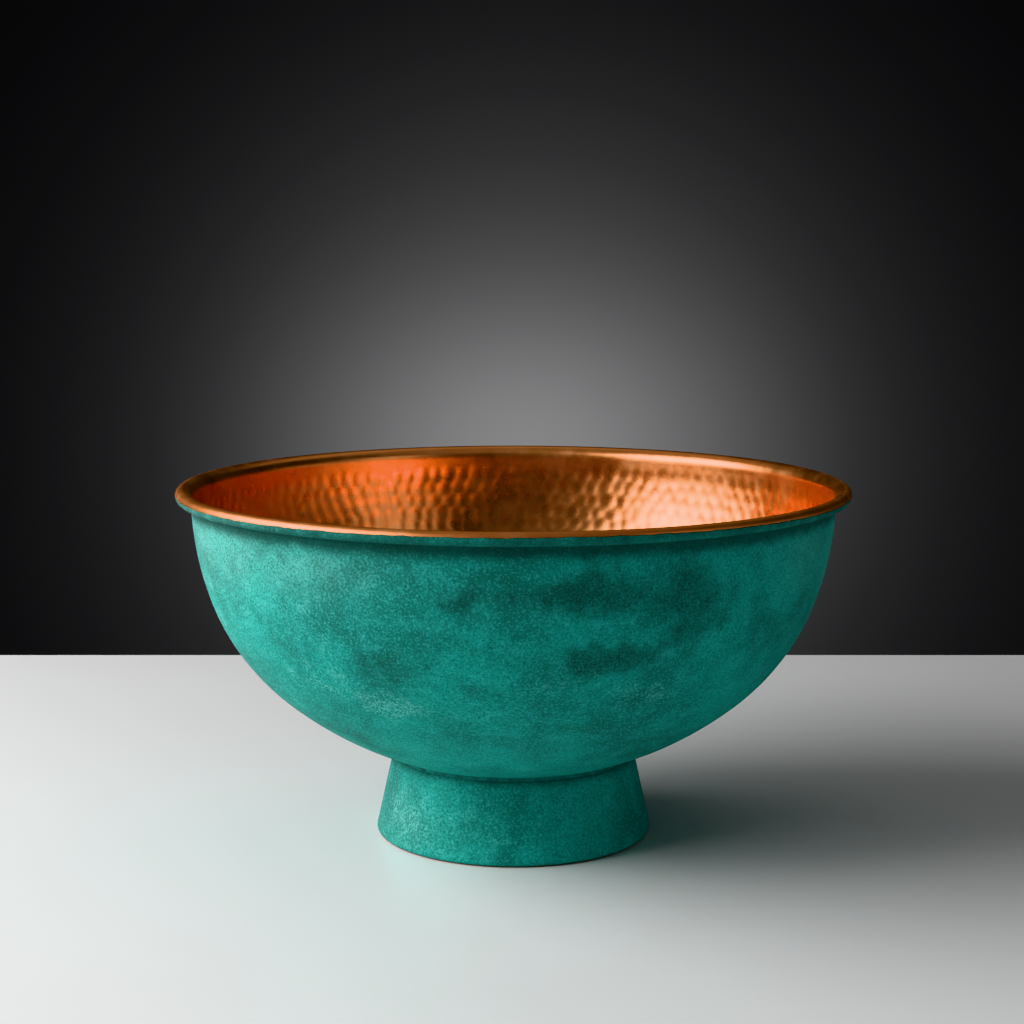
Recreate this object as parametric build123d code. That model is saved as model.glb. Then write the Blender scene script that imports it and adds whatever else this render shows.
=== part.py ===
from build123d import *
import math
import os

# Footed bowl of sheet copper, hammered inside, its rim rolled outward over a wire.
# Every piece is a body of revolution about +Z. The origin is on the axis, in the
# plane that the foot stands on. Sizes are in millimetres and angles in degrees.

# ---- sheet and rolled rim ----
SHEET = 1.2                    # thickness of the bowl's sheet and of the foot's
RIM_OUTER_RADIUS = 200.0       # to the outside of the rolled rim
RIM_TOP = 212.5                # the rim's crest, which is the overall height
RIM_WIRE_ROOM = 2.7            # radius of the hollow that the wire lies in
RIM_WIRE_PLAY = 0.05           # the wire's radius is this much less than its room
FLARE_RADIUS = 6.0             # outward bend at the top of the wall, just below the roll
ROLL_END_ANGLE = -172.0        # where the sheet's edge is tucked in, from the outward level line

# ---- bowl's outer face: three arcs that meet in line ----
BOWL_BOTTOM = 37.7             # height of the outer face on the axis
CAP_RADIUS = 219.0             # bottom cap, a sphere about a point on the axis
CAP_SLOPE = 39.0               # slope where the cap meets the shoulder
SHOULDER_RADIUS = 135.0
SHOULDER_SLOPE = 69.0          # slope where the shoulder meets the wall
WALL_RADIUS = 178.0

# ---- foot: a cone of sheet with a flange at each end ----
FOOT_BASE_RADIUS = 83.8        # where the cone's outer line meets the ground
FOOT_LEAN = 12.55              # the cone's inward lean
BASE_BEND = 3.0                # outer radius of the bend into the standing flange
TOP_BEND = 3.0                 # outer radius of the bend into the top flange
STANDING_FLANGE_HOLE = 76.0    # inner radius of the flat flange that the bowl stands on
TOP_FLANGE_HOLE = 62.0         # inner radius of the flange that lies against the bowl

# ---- brazing metal that joins the foot to the bowl ----
BRAZE_PROUD = 0.5              # how far the outer ring comes out of the crease
BRAZE_DEPTH = 2.0              # how far down the foot's bend the outer ring comes
BRAZE_GAP = 0.7                # the outer ring stops this far short of where the sheets touch
INNER_BRAZE_WIDTH = 2.4        # of the inner ring, along the bowl
INNER_BRAZE_HEIGHT = 1.0       # of the inner ring, up the flange's edge
BITE = 0.5                     # a section is drawn this far into its neighbour, then cut back


def polar(center, radius, degrees):
    """Point at an angle on a circle, as radius from the axis and height."""
    angle = math.radians(degrees)
    return (center[0] + radius * math.cos(angle), center[1] + radius * math.sin(angle))


def direction(start, end):
    """Angle of the line from one point to another."""
    return math.degrees(math.atan2(end[1] - start[1], end[0] - start[0]))


def arc(center, radius, start, end):
    """Arc from one angle to another."""
    return ThreePointArc(*[polar(center, radius, angle) for angle in (start, (start + end) / 2, end)])


def lower_crossing(center_a, radius_a, center_b, radius_b):
    """The lower of the two points where two circles cross."""
    gap = math.dist(center_a, center_b)
    along = (radius_a**2 - radius_b**2 + gap**2) / (2 * gap)
    opening = math.degrees(math.acos(along / radius_a))
    heading = direction(center_a, center_b)
    crossings = [polar(center_a, radius_a, heading + side * opening) for side in (-1, 1)]
    return min(crossings, key=lambda point: point[1])


# Centres of the rolled rim and of the bowl's arcs, from the bottom up. The flare touches
# the wall's arc outside it and the wire's circle inside it, so the sheet has no kink.
ROLL_CENTER = (RIM_OUTER_RADIUS - RIM_WIRE_ROOM - SHEET, RIM_TOP - RIM_WIRE_ROOM - SHEET)
CAP_CENTER = (0.0, BOWL_BOTTOM + CAP_RADIUS)
SHOULDER_CENTER = polar(CAP_CENTER, CAP_RADIUS - SHOULDER_RADIUS, CAP_SLOPE - 90)
WALL_CENTER = polar(SHOULDER_CENTER, SHOULDER_RADIUS - WALL_RADIUS, SHOULDER_SLOPE - 90)
FLARE_CENTER = lower_crossing(
    WALL_CENTER, WALL_RADIUS + FLARE_RADIUS, ROLL_CENTER, FLARE_RADIUS - RIM_WIRE_ROOM
)


def bowl_and_cone(from_bowl, from_cone):
    """Point at these distances outside the bowl's cap and outside the foot's cone."""
    lean = math.radians(FOOT_LEAN)
    orbit = CAP_RADIUS + from_bowl
    reach = FOOT_BASE_RADIUS * math.cos(lean) - CAP_CENTER[1] * math.sin(lean) + from_cone
    return polar(CAP_CENTER, orbit, FOOT_LEAN - math.degrees(math.acos(reach / orbit)))


FOOT_TOP = bowl_and_cone(0, 0)


def turned(section):
    """Body of revolution of a section that is drawn as radius and height."""
    return revolve(Plane.XZ * section, axis=Axis.Z)


def bowl_face(inset):
    """The sheet's outer face from the axis to the rolled edge, moved in by the inset."""
    wall_end = direction(WALL_CENTER, FLARE_CENTER)
    flare_end = direction(FLARE_CENTER, ROLL_CENTER)
    return [
        arc(CAP_CENTER, CAP_RADIUS - inset, -90, CAP_SLOPE - 90),
        arc(SHOULDER_CENTER, SHOULDER_RADIUS - inset, CAP_SLOPE - 90, SHOULDER_SLOPE - 90),
        arc(WALL_CENTER, WALL_RADIUS - inset, SHOULDER_SLOPE - 90, wall_end),
        arc(FLARE_CENTER, FLARE_RADIUS + inset, wall_end + 180, flare_end),
        arc(ROLL_CENTER, RIM_WIRE_ROOM + inset, flare_end, ROLL_END_ANGLE),
    ]


def bowl_shell():
    """One sheet: bottom cap, shoulder, wall, flare, and the roll round the wire."""
    outer = bowl_face(0)
    inner = bowl_face(SHEET)
    on_axis = Line(outer[0] @ 0, inner[0] @ 0)
    rolled_edge = Line(outer[-1] @ 1, inner[-1] @ 1)
    return turned(make_face([on_axis, *outer, rolled_edge, *inner]))


def rim_wire():
    """The round wire inside the rolled rim, a closed ring."""
    return turned(Pos(*ROLL_CENTER) * Circle(RIM_WIRE_ROOM - RIM_WIRE_PLAY))


def bowl_disc():
    """Filled circle of the bottom cap, for cutting sections back to the bowl."""
    return Pos(*CAP_CENTER) * Circle(CAP_RADIUS)


def foot_outline():
    """Filled outline of the foot, from the axis to its outer face, with both bends."""
    lean = math.tan(math.radians(FOOT_LEAN))
    above = FOOT_TOP[1] + BITE
    ground = (FOOT_BASE_RADIUS, 0)
    beyond = (FOOT_BASE_RADIUS - above * lean, above)
    outline = make_face(Polyline((0, 0), ground, beyond, (0, above), close=True)) - bowl_disc()
    for corner, bend in ((ground, BASE_BEND), (FOOT_TOP, TOP_BEND)):
        vertex = outline.vertices().sort_by_distance(corner)[0]
        outline = fillet(vertex, bend)
    return outline


def pedestal_foot():
    """Cone of sheet, with a flange on the ground and one that follows the bowl's bottom."""
    outline = foot_outline()
    sheet = outline - offset(outline, -SHEET)
    half_height = FOOT_TOP[1] / 2
    for hole, middle in ((STANDING_FLANGE_HOLE, half_height / 2), (TOP_FLANGE_HOLE, half_height * 1.5)):
        sheet -= Pos(hole / 2, middle) * Rectangle(hole, half_height)
    return turned(sheet)


def outer_braze_ring():
    """Brazing metal in the crease between the bowl and the foot's upper bend."""
    bend_center = bowl_and_cone(TOP_BEND, -TOP_BEND)
    touch = direction(CAP_CENTER, bend_center)
    short = touch + math.degrees(BRAZE_GAP / CAP_RADIUS)
    corners = [
        bowl_and_cone(-BITE, BRAZE_PROUD),
        polar(CAP_CENTER, CAP_RADIUS - BITE, short),
        polar(CAP_CENTER, CAP_RADIUS + TOP_BEND, short),
        bowl_and_cone(BRAZE_DEPTH, -BITE),
    ]
    return turned(make_face(Polyline(*corners, close=True)) - bowl_disc() - foot_outline())


def inner_braze_ring():
    """Brazing metal between the bowl's bottom and the top flange's inner edge."""
    flange_top = CAP_CENTER[1] - math.sqrt(CAP_RADIUS**2 - TOP_FLANGE_HOLE**2)
    slope = direction((TOP_FLANGE_HOLE, flange_top), CAP_CENTER) - 90
    toe = polar((TOP_FLANGE_HOLE, flange_top), INNER_BRAZE_WIDTH, slope + 180)
    corners = [
        (TOP_FLANGE_HOLE, flange_top - INNER_BRAZE_HEIGHT),
        (TOP_FLANGE_HOLE, flange_top + BITE),
        (toe[0], toe[1] + BITE),
        toe,
    ]
    return turned(make_face(Polyline(*corners, close=True)) - bowl_disc())


PIECES = {
    "bowl_shell": bowl_shell,
    "rim_wire": rim_wire,
    "pedestal_foot": pedestal_foot,
    "outer_braze_ring": outer_braze_ring,
    "inner_braze_ring": inner_braze_ring,
}

os.makedirs("parts", exist_ok=True)
for node, make_piece in PIECES.items():
    export_step(make_piece(), f"parts/{node}.step")
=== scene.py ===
import math

import bmesh
import bpy
import numpy as np
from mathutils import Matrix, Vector


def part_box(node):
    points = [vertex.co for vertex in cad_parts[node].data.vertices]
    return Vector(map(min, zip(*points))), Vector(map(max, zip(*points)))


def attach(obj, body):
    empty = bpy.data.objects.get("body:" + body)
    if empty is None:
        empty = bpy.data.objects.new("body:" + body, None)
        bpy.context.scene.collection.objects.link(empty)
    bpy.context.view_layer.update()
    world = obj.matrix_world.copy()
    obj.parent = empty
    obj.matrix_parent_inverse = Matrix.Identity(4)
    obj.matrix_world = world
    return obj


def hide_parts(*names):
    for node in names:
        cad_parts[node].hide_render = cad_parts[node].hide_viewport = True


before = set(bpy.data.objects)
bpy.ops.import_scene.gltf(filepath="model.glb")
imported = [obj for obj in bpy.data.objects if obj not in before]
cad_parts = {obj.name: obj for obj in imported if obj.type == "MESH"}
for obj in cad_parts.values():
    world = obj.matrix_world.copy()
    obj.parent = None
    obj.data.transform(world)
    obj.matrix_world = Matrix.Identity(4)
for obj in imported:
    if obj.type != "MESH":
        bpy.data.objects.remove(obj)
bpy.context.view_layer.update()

BOWL_LOW, BOWL_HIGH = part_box("bowl_shell")
FOOT_LOW, FOOT_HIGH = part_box("pedestal_foot")
TURN = 2 * math.pi
NEVER = 1e9                    # an angle past every other
SAME_PLACE = 1e-6              # points closer than this are one point
EXPONENT_CAP = 60              # keeps an exponential within range

# ---- the sheet's section, in metres and degrees, with the same arcs as the CAD ----
SHEET = 0.0012
WIRE_ROOM = 0.0027
FLARE_RADIUS = 0.006
ROLL_END_ANGLE = -172.0
CAP_RADIUS = 0.219
CAP_SLOPE = 39.0
SHOULDER_RADIUS = 0.135
SHOULDER_SLOPE = 69.0
WALL_RADIUS = 0.178
FOOT_BASE_RADIUS = 0.0838
FOOT_LEAN = 12.55
BASE_BEND = 0.003
TOP_BEND = 0.003
STANDING_FLANGE_HOLE = 0.076
TOP_FLANGE_HOLE = 0.062

# ---- hammer marks inside the bowl ----
MARK_PITCH = 0.0094            # from mark to mark along a row
ROW_PITCH = 0.0086             # from row to row
ROW_SHIFT = 0.36               # each row is turned by this share of a mark from the row above
BAND = 0.0190                  # from the rim's crest down to the middle of the first row
HOLLOW_ACROSS = 0.036          # radius of a mark's hollow along the row
HOLLOW_DOWN = 0.064            # and down the wall, where the hammer's face is flatter
MARK_DEPTH = 0.00027
RIDGE_LEVEL = 0.00004          # the ridges between marks stand this far above the sheet
RIDGE_SOFTNESS = 0.000025      # how round the ridges are
MARK_SEED = 11
ROW_SCATTER = 0.12             # how unevenly one row starts after another, as a share of a mark
MARK_SCATTER = 0.09            # how far a mark strays along its row, as a share of a mark
MARK_SLIP = 0.0007             # and across it
MARK_REACH = 2.2               # rows further off than this many rows leave no trace
MARK_SIZES = (0.8, 1.3)        # each mark's hollow is flatter or rounder by a factor in this range
MARK_DEPTHS = (0.7, 1.25)      # and shallower or deeper by one in this range
ROW_PITCHES = (0.94, 1.06)     # rows are closer or further apart by a factor in this range

# ---- mesh spacing ----
INSIDE_SPACING = 0.0018
OUTSIDE_SPACING = 0.0050
ROLL_SPACING = 0.0034
ROLL_STEP = 0.0009
FOOT_SPACING = 0.0024
BEND_STEP = 0.0008
CLOSE = 0.87                   # rings lie this share of the spacing apart, for even triangles

# ---- outside ----
PATINA_HOLE = 0.066            # inside this radius the bottom of the bowl is bare underneath
SWELL = 0.00008                # the outside is uneven by about this much
WAVE_TILT = 60                 # waves may run slantwise, by up to this many radians per metre of height
SWELL_FADE = 0.02              # the unevenness dies out over this width towards the foot
FOOT_SWELL_EDGE = 0.006        # and over this height towards the foot's two ends

# ---- patina on the rolled rim, in degrees round the wire ----
PATINA_EDGE = 5.0              # the patina reaches up to this angle
PATINA_RISE = 14               # and this much higher in front,
PATINA_RISE_AT = 5             # round this heading,
PATINA_RISE_WIDTH = 40         # over about this many degrees of heading
PATINA_WAVER = 2               # the edge wanders by about this much
PATINA_FADE = 80               # and fades over this much

# ---- seeded patches: the range that each is drawn from ----
STRAY_TURN = (75, 285)         # degrees round from the front, so the front has only the placed ones
STRAY_WIDTH = (0.012, 0.045)   # half of it
STRAY_HEIGHT = (0.008, 0.024)  # half of it
STRAY_STRENGTH = (0.5, 1.0)

# ---- dirt, painted shade and tarnish; amounts run from 0 to 1 ----
DIRT_AND_SHADE_START = 0.192            # dirt and painted shadow gather under the rim from this height
DIRT_AND_SHADE_FULL = 0.201
# painted shade and dirt on the roll below the bead
ROLL_DIRT_AND_SHADE = 0.75
ROLL_UNDERSIDE = -60           # below this angle round the wire the painted shade and dirt are full
CREASE_SHADE_WIDTH = 0.006           # painted shade and dirt in the crease, on the bowl
CREASE_SHADE_HEIGHT = 0.010          # and on the foot
CONTACT_SHADOW_HEIGHT = 0.0022        # painted contact shadow where the foot meets the table
ROLL_TARNISH = 0.25
HIDDEN_TARNISH = 0.9           # of the copper underneath and inside the foot

# ---- stage ----
FLOOR_HALF_WIDTH = 2.2
FLOOR_FRONT = 2.6
FLOOR_BACK = 0.5
FLOOR_THICKNESS = 0.03
FLOOR_BEVEL = 0.004
GLOW_TOWARD = (0.007, 0.993, -0.114)   # direction of the middle of the glow behind the bowl
GLOW_DEPTH = 0.5                       # keeps the glow behind the bowl, out of the dark in front
GLOWS = (                              # strength of each glow, and its spread across and upwards
    (0.154, 0.063, 0.045),
    (0.106, 0.120, 0.120),
)
STUDIO_DARK = 0.0154
SOFTBOXES = (                          # name, place, point it faces, width, height, watts
    ("key", (-1.50, -0.28, 0.95), (0, 0, 0.12), 1.7, 1.3, 58),
    ("right_front", (1.25, -0.95, 0.75), (0, 0, 0.15), 0.7, 0.9, 2.0),
    ("right_fill", (1.5, -0.1, 0.28), (0, 0, 0.10), 1.0, 0.4, 0.9),
    ("front_fill", (-0.3, -2.4, 1.2), (0, 0, 0.10), 1.6, 1.0, 0.4),
    ("overhead", (0.0, -0.6, 1.9), (0, 0, 0.10), 2.5, 2.0, 4.0),
    ("back_top", (0.0, 0.9, 1.6), (0, 0, 0.10), 2.0, 1.0, 3.0),
)
CAMERA_PLACE = (-0.0009, -1.2265, 0.3711)
CAMERA_DOWN = 8.20                     # degrees that the camera looks down
CAMERA_LENS = 72.7                     # millimetres
CAMERA_SENSOR = 36.0


def polar(center, radius, degrees):
    """Point at an angle on a circle, as radius from the axis and height."""
    angle = math.radians(degrees)
    return (center[0] + radius * math.cos(angle), center[1] + radius * math.sin(angle))


def direction(start, end):
    """Angle in degrees of the line from one point to another."""
    return math.degrees(math.atan2(end[1] - start[1], end[0] - start[0]))


def lower_crossing(center_a, radius_a, center_b, radius_b):
    """The lower of the two points where two circles cross."""
    gap = math.dist(center_a, center_b)
    along = (radius_a**2 - radius_b**2 + gap**2) / (2 * gap)
    opening = math.degrees(math.acos(along / radius_a))
    heading = direction(center_a, center_b)
    crossings = [polar(center_a, radius_a, heading + side * opening) for side in (-1, 1)]
    return min(crossings, key=lambda point: point[1])


RIM_RADIUS = max(BOWL_HIGH.x, BOWL_HIGH.y)
ROLL_CENTER = (RIM_RADIUS - WIRE_ROOM - SHEET, BOWL_HIGH.z - WIRE_ROOM - SHEET)
CAP_CENTER = (0.0, BOWL_LOW.z + CAP_RADIUS)
SHOULDER_CENTER = polar(CAP_CENTER, CAP_RADIUS - SHOULDER_RADIUS, CAP_SLOPE - 90)
WALL_CENTER = polar(SHOULDER_CENTER, SHOULDER_RADIUS - WALL_RADIUS, SHOULDER_SLOPE - 90)
FLARE_CENTER = lower_crossing(
    WALL_CENTER, WALL_RADIUS + FLARE_RADIUS, ROLL_CENTER, FLARE_RADIUS - WIRE_ROOM
)


def bowl_and_cone(from_bowl, from_cone):
    """Point at these distances outside the bowl's cap and outside the foot's cone."""
    lean = math.radians(FOOT_LEAN)
    orbit = CAP_RADIUS + from_bowl
    reach = FOOT_BASE_RADIUS * math.cos(lean) - CAP_CENTER[1] * math.sin(lean) + from_cone
    return polar(CAP_CENTER, orbit, FOOT_LEAN - math.degrees(math.acos(reach / orbit)))


FOOT_TOP = bowl_and_cone(0, 0)


# ---------------------------------------------------------------- sections and meshes


class Ring:
    """One level circle of a turned mesh: its place, its normal out of the metal, and its spacing."""

    def __init__(self, radius, height, normal, spacing, face, along):
        self.radius = radius
        self.height = height
        self.normal = normal
        self.face = face
        self.along = along
        self.count = 1 if radius < spacing / 2 else max(6, round(TURN * radius / spacing))


def arc_rings(center, radius, start, end, outward, spacing, face, along=0.0, across=None):
    """Rings along an arc. outward is 1 where the metal's outside faces away from the centre."""
    length = abs(math.radians(end - start)) * radius
    steps = max(2, round(length / (across or spacing * CLOSE)))
    rings = []
    for step in range(steps + 1):
        angle = start + (end - start) * step / steps
        r, z = polar(center, radius, angle)
        nx, nz = polar((0, 0), outward, angle)
        rings.append(Ring(max(r, 0.0), z, (nx, nz), spacing, face, along + length * step / steps))
    return rings


def line_rings(start, end, normal, spacing, face):
    """Rings along a straight line from one point to another."""
    steps = max(1, round(math.dist(start, end) / (spacing * CLOSE)))
    rings = []
    for step in range(steps + 1):
        share = step / steps
        r = start[0] + (end[0] - start[0]) * share
        z = start[1] + (end[1] - start[1]) * share
        rings.append(Ring(r, z, normal, spacing, face, 0.0))
    return rings


def joined(*stretches):
    """One list of rings, without the doubled ring where two stretches meet."""
    rings = list(stretches[0])
    for stretch in stretches[1:]:
        last = rings[-1]
        same = math.dist((last.radius, last.height), (stretch[0].radius, stretch[0].height)) < SAME_PLACE
        rings += stretch[1:] if same else stretch
    return rings


def stitch(faces, ring_a, ring_b):
    """Triangles between two rings, each given as its first vertex and its list of angles."""
    first_a, angles_a = ring_a
    first_b, angles_b = ring_b
    count_a, count_b = len(angles_a), len(angles_b)
    i = j = 0
    while i < count_a or j < count_b:
        next_a = angles_a[(i + 1) % count_a] + TURN * ((i + 1) // count_a) if i < count_a else NEVER
        next_b = angles_b[(j + 1) % count_b] + TURN * ((j + 1) // count_b) if j < count_b else NEVER
        here = (first_a + i % count_a, first_b + j % count_b)
        if next_a <= next_b:
            faces.append((here[0], first_a + (i + 1) % count_a, here[1]))
            i += 1
        else:
            faces.append((here[0], first_b + (j + 1) % count_b, here[1]))
            j += 1


def fan(faces, point, ring):
    """Triangles from one vertex to a ring round it."""
    first, angles = ring
    for i in range(len(angles)):
        faces.append((point, first + i, first + (i + 1) % len(angles)))


def turned_mesh(name, rings, shape, closed, attributes):
    """Mesh of a section's rings. shape gives each ring's rise along its normal, and attributes the
    values that the materials read, as functions of the ring and its angles. closed joins the last
    ring to the first; otherwise both ends lie on the axis."""
    points, faces, values = [], [], {key: [] for key in attributes}
    built = []
    for index, ring in enumerate(rings):
        angles = (np.arange(ring.count) + 0.5 * (index % 2)) * TURN / ring.count
        rise = np.broadcast_to(shape(ring, angles), angles.shape)
        radius = ring.radius + ring.normal[0] * rise
        height = ring.height + ring.normal[1] * rise
        built.append((len(points), list(angles)))
        points += list(zip(radius * np.cos(angles), radius * np.sin(angles), height))
        for key, give in attributes.items():
            values[key] += list(np.broadcast_to(give(ring, angles), angles.shape))
    for ring_a, ring_b in zip(built, built[1:] + (built[:1] if closed else [])):
        if len(ring_a[1]) == 1:
            fan(faces, ring_a[0], ring_b)
        elif len(ring_b[1]) == 1:
            fan(faces, ring_b[0], ring_a)
        else:
            stitch(faces, ring_a, ring_b)
    mesh = bpy.data.meshes.new(name)
    mesh.from_pydata(points, [], faces)
    for key, column in values.items():
        attribute = mesh.attributes.new(key, "FLOAT", "POINT")
        attribute.data.foreach_set("value", np.asarray(column, np.float32))
    tidy = bmesh.new()
    tidy.from_mesh(mesh)
    bmesh.ops.recalc_face_normals(tidy, faces=tidy.faces)
    tidy.to_mesh(mesh)
    tidy.free()
    mesh.polygons.foreach_set("use_smooth", np.ones(len(mesh.polygons), bool))
    piece = bpy.data.objects.new(name, mesh)
    bpy.context.scene.collection.objects.link(piece)
    return piece


# ---------------------------------------------------------------- unevenness and hammer marks


def smooth_noise(seed, waves, low, high):
    """A gentle random function of height and angle, of waves that go low to high times round."""
    rng = np.random.default_rng(seed)
    terms = [
        (
            rng.integers(low, high + 1),
            rng.uniform(-WAVE_TILT, WAVE_TILT),
            rng.uniform(0, TURN),
            rng.normal(),
        )
        for _ in range(waves)
    ]
    scale = 1 / math.sqrt(sum(term[3] ** 2 for term in terms) / 2)

    def value(height, angles):
        total = sum(
            weight * np.cos(turns * angles + tilt * height + phase)
            for turns, tilt, phase, weight in terms
        )
        return total * scale

    return value


class HammerMarks:
    """Rows of hammer marks. Each is a shallow oval hollow, and neighbours meet in a soft ridge."""

    def __init__(self, first_row, radius_at):
        rng = np.random.default_rng(MARK_SEED)
        self.rows = []
        phase = 0.0
        along = first_row
        while along > 0:
            count = max(1, round(TURN * radius_at(along) / MARK_PITCH))
            step = TURN / count
            phase += step * (ROW_SHIFT + rng.uniform(-ROW_SCATTER, ROW_SCATTER))
            self.rows.append({
                "along": along,
                "step": step,
                "phase": phase,
                "turn": rng.normal(0, MARK_SCATTER, count) * step,
                "slip": rng.normal(0, MARK_SLIP, count),
                "hollow": rng.uniform(*MARK_SIZES, count),
                "depth": MARK_DEPTH * rng.uniform(*MARK_DEPTHS, count),
            })
            along -= ROW_PITCH * rng.uniform(*ROW_PITCHES)

    def rise(self, along, radius, angles):
        """Height of the hammered face over the plain sheet, below zero in a mark."""
        total = np.exp(np.full(angles.shape, -RIDGE_LEVEL / RIDGE_SOFTNESS))
        for row in self.rows:
            if abs(row["along"] - along) > MARK_REACH * ROW_PITCH:
                continue
            nearest = np.round((angles - row["phase"]) / row["step"]).astype(int)
            count = len(row["turn"])
            for index in {-1, 0, 1} if count > 2 else {0}:
                mark = (nearest + index) % count
                center = row["phase"] + (nearest + index) * row["step"] + row["turn"][mark]
                sideways = (angles - center) * radius
                lengthways = along - row["along"] - row["slip"][mark]
                bowl = sideways**2 / (2 * HOLLOW_ACROSS) + lengthways**2 / (2 * HOLLOW_DOWN)
                bowl = bowl / row["hollow"][mark] - row["depth"][mark]
                total = total + np.exp(np.clip(-bowl / RIDGE_SOFTNESS, -EXPONENT_CAP, EXPONENT_CAP))
        return -RIDGE_SOFTNESS * np.log(total)


# ---------------------------------------------------------------- stains, and a pale film with painted sheen


def heading(angles):
    """Degrees round from the front, towards the right as the front is faced, from -180 to 180."""
    return (np.degrees(angles) + 90 + 180) % 360 - 180


class Stains:
    """Soft patches on the outside: placed ones in front, and seeded ones round the sides and back.

    A patch is its degrees round from the front, height, half width, half height and strength."""

    def __init__(self, placed, seed, count, low, high):
        rng = np.random.default_rng(seed)
        self.patches = list(placed)
        for _ in range(count):
            self.patches.append((
                rng.uniform(*STRAY_TURN),
                rng.uniform(low, high),
                rng.uniform(*STRAY_WIDTH),
                rng.uniform(*STRAY_HEIGHT),
                rng.uniform(*STRAY_STRENGTH),
            ))

    def value(self, ring, angles):
        total = np.zeros(angles.shape)
        for turn, height, half_width, half_height, strength in self.patches:
            aside = (heading(angles) - turn + 180) % 360 - 180
            across = np.radians(aside) * ring.radius / half_width
            up = (ring.height - height) / half_height
            total = np.maximum(total, strength * np.exp(-(across**2 + up**2)))
        return total


DARK_STAINS = Stains([
    (31, 0.168, 0.042, 0.026, 1.0),
    (17, 0.187, 0.030, 0.016, 0.8),
    (49, 0.150, 0.026, 0.018, 0.6),
    (-24, 0.136, 0.034, 0.013, 0.9),
    (-9, 0.124, 0.020, 0.010, 0.6),
    (2, 0.181, 0.036, 0.014, 0.6),
    (14, 0.177, 0.046, 0.016, 1.1),
    (-10, 0.176, 0.022, 0.012, 0.9),
    (15, 0.142, 0.034, 0.014, 1.1),
    (1, 0.143, 0.020, 0.010, 0.6),
    (-41, 0.139, 0.030, 0.012, 0.55),
    (-42, 0.193, 0.030, 0.006, 0.4),
    (31, 0.037, 0.024, 0.008, 0.5),
], seed=21, count=20, low=0.07, high=0.19)
PALE_STAINS = Stains([
    (-25, 0.112, 0.032, 0.010, 0.8),
    (-38, 0.120, 0.022, 0.012, 0.5),
    (8, 0.130, 0.028, 0.012, 0.5),
    (24, 0.118, 0.026, 0.009, 0.5),
    (-48, 0.018, 0.040, 0.016, 0.6),
    (-14, 0.020, 0.024, 0.012, 0.4),
], seed=22, count=16, low=0.07, high=0.18)
# pale film where the lights strike the patina at a glance: partly pale verdigris, partly painted sheen
FILM_AND_SHEEN = Stains([
    (-62, 0.195, 0.070, 0.026, 0.85),
    (-38, 0.188, 0.055, 0.018, 0.55),
    (60, 0.190, 0.034, 0.022, 0.6),
    (-60, 0.020, 0.040, 0.024, 0.3),
], seed=23, count=6, low=0.12, high=0.20)


# ---------------------------------------------------------------- finishes


class Finish:
    """A material and its nodes, with short calls for the few kinds of node that the finishes use."""

    def __init__(self, name):
        self.material = bpy.data.materials.new(name)
        self.material.use_nodes = True
        self.tree = self.material.node_tree
        self.shader = self.tree.nodes["Principled BSDF"]
        self.place = self.add("ShaderNodeTexCoord").outputs["Object"]

    def add(self, kind, inputs=None, **settings):
        """A new node. inputs gives each socket a number, a colour or another node's output."""
        node = self.tree.nodes.new(kind)
        for key, value in settings.items():
            setattr(node, key, value)
        self.feed(node, inputs or {})
        return node

    def feed(self, node, inputs):
        """Link or set the node's sockets."""
        for key, value in inputs.items():
            if isinstance(value, bpy.types.NodeSocket):
                self.tree.links.new(value, node.inputs[key])
            else:
                node.inputs[key].default_value = value

    def shade(self, inputs):
        """Feed the shader's own sockets."""
        self.feed(self.shader, inputs)

    def noise(self, scale, detail=3.0, stretch=(1, 1, 1), shift=0.0, rough=0.55):
        """Cloudy noise, about 1 / scale metres from lump to lump."""
        moved = self.add("ShaderNodeMapping",
                         {"Vector": self.place, "Scale": stretch, "Location": (shift, shift, shift)})
        node = self.add("ShaderNodeTexNoise", {
            "Vector": moved.outputs["Vector"], "Scale": scale, "Detail": detail, "Roughness": rough})
        return node.outputs["Fac"]

    def value(self, name):
        """A number stored on the mesh's points."""
        return self.add("ShaderNodeAttribute", attribute_name=name).outputs["Fac"]

    def sum(self, a, b):
        return self.add("ShaderNodeMath", {0: a, 1: b}, operation="ADD").outputs["Value"]

    def times(self, a, b):
        return self.add("ShaderNodeMath", {0: a, 1: b}, operation="MULTIPLY").outputs["Value"]

    def step(self, value, low, high, start=0.0, end=1.0):
        """Smooth change from start to end as the value goes from low to high."""
        node = self.add("ShaderNodeMapRange", {
            "Value": value, "From Min": low, "From Max": high, "To Min": start, "To Max": end,
        }, interpolation_type="SMOOTHSTEP")
        return node.outputs["Result"]

    def mix(self, share, first, second):
        """Colour that goes from the first to the second as the share goes from 0 to 1."""
        node = self.add("ShaderNodeMix", {0: share, 6: first, 7: second}, data_type="RGBA")
        return node.outputs[2]

    def pick(self, share, first, second):
        """Number that goes from the first to the second as the share goes from 0 to 1."""
        node = self.add("ShaderNodeMix", {0: share, 2: first, 3: second}, data_type="FLOAT")
        return node.outputs[0]

    def relief(self, *layers):
        """Normal from layers of (height output, height in metres)."""
        normal = None
        for height, size in layers:
            inputs = {"Height": height, "Distance": size}
            if normal is not None:
                inputs["Normal"] = normal
            normal = self.add("ShaderNodeBump", inputs).outputs["Normal"]
        return normal


def linear(red, green, blue):
    return (red, green, blue, 1.0)


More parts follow.
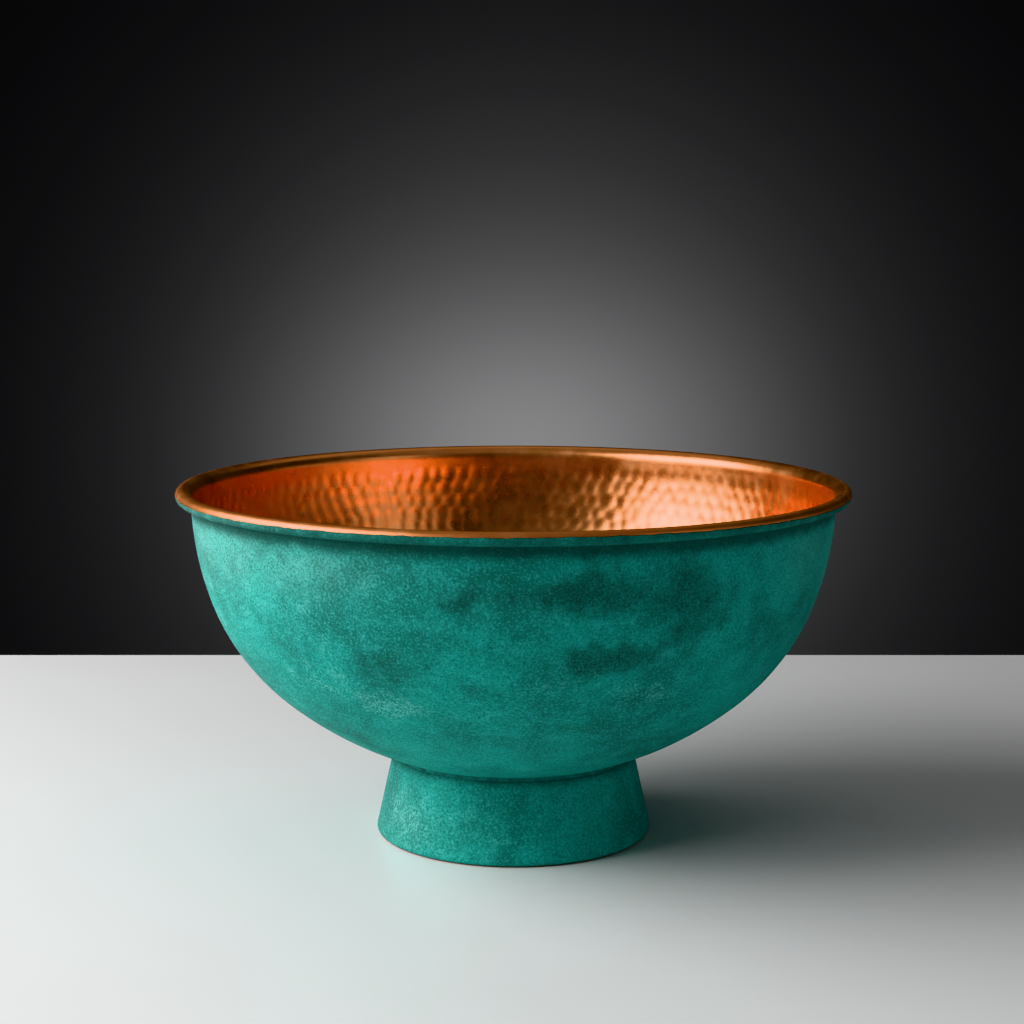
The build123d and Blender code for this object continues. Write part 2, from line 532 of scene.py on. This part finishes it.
COPPER = linear(0.68, 0.282, 0.120)
COPPER_PALE = linear(0.80, 0.440, 0.230)
COPPER_DEEP = linear(0.58, 0.195, 0.065)
COPPER_BROWN = linear(0.40, 0.145, 0.072)
COPPER_EDGE = linear(0.90, 0.62, 0.45)     # specular tint of the sheet
TEAL = linear(0.008, 0.310, 0.260)
TEAL_DEEP = linear(0.003, 0.150, 0.125)
TEAL_PALE = linear(0.070, 0.480, 0.430)
# pale verdigris crust, and the pale film with painted sheen
CHALK_AND_SHEEN = linear(0.280, 0.570, 0.530)
# dark dirt of the stains, and painted shade under the rim, in the creases and at the table
SOOT_AND_SHADE = linear(0.004, 0.045, 0.038)
BRAZE = linear(0.62, 0.42, 0.15)
BRAZE_DULL = linear(0.34, 0.20, 0.08)
FLOOR_GREY = linear(0.80, 0.80, 0.80)
FLOOR_PALE = linear(0.86, 0.86, 0.86)
STUDIO_GREY = linear(0.98, 0.98, 1.0)


def patina_coat(finish):
    """Colour, roughness and relief layers of matte verdigris: granular, cloudy, stained in places, with
    painted sheen where the lights strike it and painted shade under the rim and in creases.
    """
    grain = finish.noise(800, 2.5, rough=0.6)
    specks = finish.noise(950, 1.0, shift=3.1)
    mottle = finish.noise(75, 4.0, shift=1.7, rough=0.65)
    clouds = finish.noise(14, 4.0, shift=5.3, rough=0.6)
    smudges = finish.noise(32, 5.0, shift=11.3, rough=0.65)
    streaks = finish.noise(30, 3.0, (0.5, 0.5, 9), shift=2.4)

    color = finish.mix(finish.step(clouds, 0.35, 0.62), TEAL_DEEP, TEAL)
    color = finish.mix(finish.step(mottle, 0.42, 0.70, 0, 0.35), color, TEAL_PALE)
    color = finish.mix(finish.step(streaks, 0.55, 0.75, 0, 0.15), color, TEAL_PALE)
    # pale film and painted sheen on the patina where the lights strike it at a glance
    film_and_sheen = finish.times(finish.value("film_and_sheen"), finish.step(mottle, 0.25, 0.70, 0.20, 0.42))
    color = finish.mix(film_and_sheen, color, CHALK_AND_SHEEN)
    color = finish.mix(finish.step(grain, 0.50, 0.66, 0, 0.58), color, TEAL_PALE)
    color = finish.mix(finish.step(grain, 0.50, 0.34, 0, 0.72), color, TEAL_DEEP)

    stain = finish.sum(finish.value("dark"), finish.times(finish.sum(smudges, -0.5), 2.6))
    stain = finish.times(finish.step(stain, 0.25, 1.15), finish.step(specks, 0.65, 0.40, 0.6, 1))
    color = finish.mix(finish.times(stain, 0.8), color, SOOT_AND_SHADE)

    crust = finish.sum(finish.value("pale"), finish.times(finish.sum(mottle, -0.5), 2.2))
    crust = finish.times(finish.step(crust, 0.2, 0.9), finish.step(grain, 0.44, 0.60))
    color = finish.mix(finish.times(crust, 0.34), color, CHALK_AND_SHEEN)

    # painted shade under the rim and the roll, in the crease and at the table, mixed with some dirt
    dirt_and_shade = finish.sum(finish.value("dirt_and_shade"), finish.times(finish.sum(mottle, -0.5), 1.0))
    color = finish.mix(finish.step(dirt_and_shade, 0.2, 1.0, 0, 0.8), color, SOOT_AND_SHADE)

    roughness = finish.step(mottle, 0.3, 0.7, 0.72, 0.92)
    relief = ((grain, 0.00040), (mottle, 0.0006))
    return color, roughness, relief


def copper_coat(finish):
    """Colour, roughness and relief layers of bare copper, brighter where the hammer burnished it."""
    clouds = finish.noise(11, 3.0, shift=8.2)
    bloom = finish.noise(60, 4.0, shift=6.6, rough=0.6)
    fine = finish.noise(160, 2.0, shift=2.2)

    color = finish.mix(finish.step(clouds, 0.35, 0.68, 0, 0.7), COPPER, COPPER_DEEP)
    color = finish.mix(finish.step(bloom, 0.45, 0.72, 0, 0.35), color, COPPER_PALE)
    color = finish.mix(finish.times(finish.value("tarnish"), finish.step(bloom, 0.2, 0.7, 0.55, 1)),
                       color, COPPER_BROWN)
    roughness = finish.step(bloom, 0.3, 0.7, 0.27, 0.37)
    roughness = finish.sum(roughness, finish.times(finish.value("hollow"), -0.04))
    roughness = finish.sum(roughness, finish.times(finish.value("tarnish"), 0.40))
    relief = ((fine, 0.000012),)
    return color, roughness, relief


def two_coats(name):
    """Bare copper and patina on one sheet, with an uneven edge where the patina value is a half."""
    finish = Finish(name)
    copper, copper_rough, copper_relief = copper_coat(finish)
    patina, patina_rough, patina_relief = patina_coat(finish)
    ragged = finish.times(finish.sum(finish.noise(160, 3.0, (1, 1, 1.6), shift=9.4), -0.5), 0.24)
    coat = finish.step(finish.sum(finish.value("patina"), ragged), 0.47, 0.53)
    layers = [(finish.times(height, coat), size) for height, size in patina_relief]
    bare = finish.sum(1.0, finish.times(coat, -1.0))
    layers += [(finish.times(height, bare), size) for height, size in copper_relief]
    finish.shade({
        "Base Color": finish.mix(coat, copper, patina),
        "Metallic": bare,
        "Specular Tint": COPPER_EDGE,
        "Roughness": finish.pick(coat, copper_rough, patina_rough),
        "Normal": finish.relief(*layers),
    })
    return finish.material


def shaded_crease_patina():
    """Verdigris of the brazed crease, darkened with painted shade where the crease lies in shadow."""
    finish = Finish("verdigris_braze")
    patina, roughness, relief = patina_coat(finish)
    # painted shade over the crease's verdigris
    crease_shade = finish.step(finish.noise(140, 3.0, shift=6.1), 0.3, 0.7, 0.45, 0.85)
    finish.shade({
        "Base Color": finish.mix(crease_shade, patina, SOOT_AND_SHADE),
        "Roughness": roughness,
        "Normal": finish.relief(*relief),
    })
    return finish.material


def copper_wire():
    """Drawn copper wire gone brown inside the rim, with faint lines along it."""
    finish = Finish("copper_wire")
    clouds = finish.noise(60, 4.0, shift=3.3)
    lines = finish.noise(700, 2.0, (0.1, 0.1, 1))
    finish.shade({
        "Base Color": finish.mix(finish.step(clouds, 0.3, 0.7), COPPER_BROWN, COPPER_DEEP),
        "Metallic": 1.0,
        "Roughness": finish.step(clouds, 0.3, 0.7, 0.32, 0.45),
        "Normal": finish.relief((lines, 0.00003)),
    })
    return finish.material


def bare_braze():
    """Brazing metal as it froze: yellower than copper, dull, and lumpy."""
    finish = Finish("bare_braze")
    clouds = finish.noise(90, 4.0, shift=1.1)
    lumps = finish.noise(260, 2.0, shift=7.7)
    finish.shade({
        "Base Color": finish.mix(finish.step(clouds, 0.35, 0.7), BRAZE, BRAZE_DULL),
        "Metallic": 1.0,
        "Roughness": finish.step(clouds, 0.3, 0.7, 0.38, 0.55),
        "Normal": finish.relief((lumps, 0.0004)),
    })
    return finish.material


# ---------------------------------------------------------------- the bowl


def bowl_rings():
    """The whole section of the bowl's sheet: inside, over the roll, and back down the outside."""
    wall_end = direction(WALL_CENTER, FLARE_CENTER)
    flare_end = direction(FLARE_CENTER, ROLL_CENTER)
    arcs = [
        (CAP_CENTER, CAP_RADIUS, -90, CAP_SLOPE - 90, -1),
        (SHOULDER_CENTER, SHOULDER_RADIUS, CAP_SLOPE - 90, SHOULDER_SLOPE - 90, -1),
        (WALL_CENTER, WALL_RADIUS, SHOULDER_SLOPE - 90, wall_end, -1),
        (FLARE_CENTER, FLARE_RADIUS, wall_end + 180, flare_end, 1),
    ]
    inside, outside = [], []
    along = 0.0
    for center, radius, start, end, side in arcs:
        inside.append(arc_rings(center, radius + side * SHEET, start, end, side,
                                INSIDE_SPACING, "inside", along))
        outside.append(arc_rings(center, radius, start, end, -side, OUTSIDE_SPACING, "outside"))
        along = inside[-1][-1].along
    roll = arc_rings(ROLL_CENTER, WIRE_ROOM + SHEET, flare_end, ROLL_END_ANGLE, 1,
                     ROLL_SPACING, "roll", across=ROLL_STEP)
    lining = arc_rings(ROLL_CENTER, WIRE_ROOM, flare_end, ROLL_END_ANGLE, -1,
                       ROLL_SPACING, "lining", across=2 * ROLL_STEP)
    back = [list(reversed(stretch)) for stretch in (lining, *reversed(outside))]
    return joined(*inside, roll, *back)


def inside_reader(rings, key):
    """Function of the distance along the inside from the axis, reading one property of its rings."""
    inside = [ring for ring in rings if ring.face == "inside"]
    return lambda along: float(np.interp(
        along, [ring.along for ring in inside], [getattr(ring, key) for ring in inside]))


def roll_angle(ring):
    """Angle round the wire, from the outward level line up towards the crest."""
    return direction(ROLL_CENTER, (ring.radius, ring.height))


def make_bowl():
    rings = bowl_rings()
    inside = [ring for ring in rings if ring.face == "inside"]
    first_row = float(np.interp(
        BOWL_HIGH.z - BAND, [ring.height for ring in inside], [ring.along for ring in inside]))
    marks = HammerMarks(first_row, inside_reader(rings, "radius"))
    swell = smooth_noise(seed=5, waves=14, low=1, high=9)
    waver = smooth_noise(seed=6, waves=10, low=2, high=14)

    def shape(ring, angles):
        if ring.face == "inside":
            return marks.rise(ring.along, ring.radius, angles)
        if ring.face == "outside":
            clear = np.clip((ring.radius - FOOT_HIGH.x) / SWELL_FADE, 0, 1)
            return SWELL * clear * swell(ring.height, angles)
        return 0.0

    def patina(ring, angles):
        if ring.face == "roll":
            front = np.exp(-((heading(angles) - PATINA_RISE_AT) / PATINA_RISE_WIDTH) ** 2)
            edge = PATINA_EDGE + PATINA_RISE * front + PATINA_WAVER * waver(0, angles)
            return np.clip(0.5 + (edge - roll_angle(ring)) / PATINA_FADE, 0, 1)
        return 1.0 if ring.face == "outside" and ring.radius > PATINA_HOLE else 0.0

    def hollow(ring, angles):
        if ring.face != "inside":
            return 0.0
        return np.clip(-marks.rise(ring.along, ring.radius, angles) / MARK_DEPTH, 0, 1)

    def tarnish(ring, angles):
        under = ring.face == "outside" and ring.radius <= PATINA_HOLE
        return {"roll": ROLL_TARNISH, "lining": 1.0}.get(ring.face, HIDDEN_TARNISH if under else 0.0)

    # painted shadow under the rim and under the roll, and painted shade in the crease, with some dirt
    def dirt_and_shade(ring, angles):
        if ring.face == "outside":
            under_rim = np.clip((ring.height - DIRT_AND_SHADE_START) / (DIRT_AND_SHADE_FULL - DIRT_AND_SHADE_START), 0, 1)
            crease = np.clip(1 - (ring.radius - FOOT_TOP[0]) / CREASE_SHADE_WIDTH, 0, 1)
            return max(under_rim, crease)
        if ring.face == "roll":
            return 1.0 if roll_angle(ring) < ROLL_UNDERSIDE else ROLL_DIRT_AND_SHADE
        return 0.0

    piece = turned_mesh("hammered_bowl", rings, shape, False, {
        "patina": patina,
        "hollow": hollow,
        "tarnish": tarnish,
        "dirt_and_shade": dirt_and_shade,
        "dark": DARK_STAINS.value,
        "pale": PALE_STAINS.value,
        "film_and_sheen": FILM_AND_SHEEN.value,
    })
    piece.data.materials.append(two_coats("hammered_copper_and_verdigris"))
    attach(piece, "root")
    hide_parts("bowl_shell")


# ---------------------------------------------------------------- the foot


def foot_rings():
    """The whole section of the foot's sheet, from the standing flange's hole and back to it."""
    lean = math.radians(FOOT_LEAN)
    base_reach = FOOT_BASE_RADIUS * math.cos(lean) - BASE_BEND * (1 + math.sin(lean))
    base_center = (base_reach / math.cos(lean), BASE_BEND)
    top_center = bowl_and_cone(TOP_BEND, -TOP_BEND)
    to_bowl = direction(top_center, CAP_CENTER)

    def face(inset, facing, spacing, name):
        """One face of the sheet. facing is 1 for the outer face and -1 for the inner one."""
        on_cap = CAP_RADIUS + inset
        hole_angle = -math.degrees(math.acos(TOP_FLANGE_HOLE / on_cap))
        cone_ends = [polar(center, bend - inset, FOOT_LEAN)
                     for center, bend in ((base_center, BASE_BEND), (top_center, TOP_BEND))]
        return joined(
            line_rings((STANDING_FLANGE_HOLE, inset), (base_center[0], inset), (0, -facing), spacing, name),
            arc_rings(base_center, BASE_BEND - inset, -90, FOOT_LEAN, facing,
                      spacing, name, across=BEND_STEP),
            line_rings(*cone_ends, polar((0, 0), facing, FOOT_LEAN), spacing, name),
            arc_rings(top_center, TOP_BEND - inset, FOOT_LEAN, to_bowl, facing,
                      spacing, name, across=BEND_STEP),
            arc_rings(CAP_CENTER, on_cap, to_bowl - 180, hole_angle, -facing, spacing, name),
        )

    outer = face(0.0, 1, FOOT_SPACING, "outside")
    inner = face(SHEET, -1, 2 * FOOT_SPACING, "inside")
    return outer + list(reversed(inner))


def make_foot():
    swell = smooth_noise(seed=7, waves=10, low=1, high=7)
    middle = FOOT_TOP[1] / 2

    def shape(ring, angles):
        belly = np.clip(1 - abs(ring.height - middle) / (middle - FOOT_SWELL_EDGE), 0, 1)
        return SWELL * belly * swell(ring.height, angles) if ring.face == "outside" else 0.0

    def patina(ring, angles):
        return 1.0 if ring.face == "outside" and ring.height > SHEET / 2 else 0.0

    def tarnish(ring, angles):
        return HIDDEN_TARNISH

    # painted shade in the crease under the bowl, and painted contact shadow where the foot meets the table
    def dirt_and_shade(ring, angles):
        crease = np.clip((ring.height - FOOT_TOP[1] + CREASE_SHADE_HEIGHT) / CREASE_SHADE_HEIGHT, 0, 1)
        contact = np.clip(1 - ring.height / CONTACT_SHADOW_HEIGHT, 0, 1)
        return max(crease, contact)

    piece = turned_mesh("foot", foot_rings(), shape, True, {
        "patina": patina,
        "tarnish": tarnish,
        "dirt_and_shade": dirt_and_shade,
        "dark": DARK_STAINS.value,
        "pale": PALE_STAINS.value,
        "film_and_sheen": FILM_AND_SHEEN.value,
    })
    piece.data.materials.append(two_coats("verdigris_and_aged_copper"))
    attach(piece, "root")
    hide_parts("pedestal_foot")


# ---------------------------------------------------------------- the pieces kept from the CAD


def dress(node, material):
    """Give a CAD node a better material."""
    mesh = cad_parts[node].data
    mesh.materials.clear()
    mesh.materials.append(material)


# ---------------------------------------------------------------- stage, light and camera


def make_floor():
    """A plain pale table top, softly glossy, with its far edge behind the bowl."""
    finish = Finish("pale_table")
    veil = finish.noise(3, 4.0, shift=7.0)
    finish.shade({
        "Base Color": finish.mix(veil, FLOOR_GREY, FLOOR_PALE),
        "Roughness": 0.28,
    })
    low = Vector((-FLOOR_HALF_WIDTH, -FLOOR_FRONT, -FLOOR_THICKNESS))
    high = Vector((FLOOR_HALF_WIDTH, FLOOR_BACK, FOOT_LOW.z))
    mesh = bpy.data.meshes.new("table_top")
    shape = bmesh.new()
    bmesh.ops.create_cube(shape, size=1.0)
    bmesh.ops.scale(shape, vec=high - low, verts=shape.verts)
    bmesh.ops.translate(shape, vec=(high + low) / 2, verts=shape.verts)
    bmesh.ops.bevel(shape, geom=shape.edges[:], offset=FLOOR_BEVEL, segments=3, affect="EDGES")
    shape.to_mesh(mesh)
    shape.free()
    floor = bpy.data.objects.new("table_top", mesh)
    bpy.context.scene.collection.objects.link(floor)
    mesh.materials.append(finish.material)


def softbox(name, place, aim, width, height, power):
    """Rectangular light at a place, turned to an aim, that the camera doesn't see."""
    light = bpy.data.lights.new(name, "AREA")
    light.shape = "RECTANGLE"
    light.size = width
    light.size_y = height
    light.energy = power
    lamp = bpy.data.objects.new(name, light)
    lamp.location = place
    lamp.rotation_euler = (Vector(aim) - Vector(place)).to_track_quat("-Z", "Y").to_euler()
    lamp.visible_camera = False
    bpy.context.scene.collection.objects.link(lamp)


def make_world():
    """A dark studio with a soft grey glow low behind the bowl."""
    world = bpy.data.worlds.new("studio")
    bpy.context.scene.world = world
    world.use_nodes = True
    tree = world.node_tree

    def add(kind, first, second, **settings):
        node = tree.nodes.new(kind)
        for key, value in settings.items():
            setattr(node, key, value)
        for socket, value in zip(node.inputs, (first, second)):
            if isinstance(value, bpy.types.NodeSocket):
                tree.links.new(value, socket)
            else:
                socket.default_value = value
        return node

    ways = tree.nodes.new("ShaderNodeTexCoord").outputs["Generated"]
    aside = add("ShaderNodeVectorMath", ways, GLOW_TOWARD, operation="SUBTRACT").outputs["Vector"]
    strength = STUDIO_DARK
    for peak, across, up in GLOWS:
        spread = (across, GLOW_DEPTH, up)
        scaled = add("ShaderNodeVectorMath", aside, spread, operation="DIVIDE").outputs["Vector"]
        squared = add("ShaderNodeVectorMath", scaled, scaled, operation="DOT_PRODUCT").outputs["Value"]
        fall = add("ShaderNodeMath", squared, -0.5, operation="MULTIPLY").outputs["Value"]
        glow = add("ShaderNodeMath", math.e, fall, operation="POWER").outputs["Value"]
        glow = add("ShaderNodeMath", glow, peak, operation="MULTIPLY").outputs["Value"]
        strength = add("ShaderNodeMath", glow, strength, operation="ADD").outputs["Value"]
    background = tree.nodes["Background"]
    background.inputs["Color"].default_value = STUDIO_GREY
    tree.links.new(strength, background.inputs["Strength"])


def make_camera():
    camera_data = bpy.data.cameras.new("camera")
    camera_data.lens = CAMERA_LENS
    camera_data.sensor_width = CAMERA_SENSOR
    camera = bpy.data.objects.new("camera", camera_data)
    camera.location = CAMERA_PLACE
    camera.rotation_euler = (math.radians(90 - CAMERA_DOWN), 0, 0)
    bpy.context.scene.collection.objects.link(camera)
    bpy.context.scene.camera = camera


make_bowl()
make_foot()
dress("rim_wire", copper_wire())
dress("outer_braze_ring", shaded_crease_patina())
dress("inner_braze_ring", bare_braze())
make_floor()
for setting in SOFTBOXES:
    softbox(*setting)
make_world()
make_camera()
bpy.context.scene.view_settings.view_transform = "Khronos PBR Neutral"
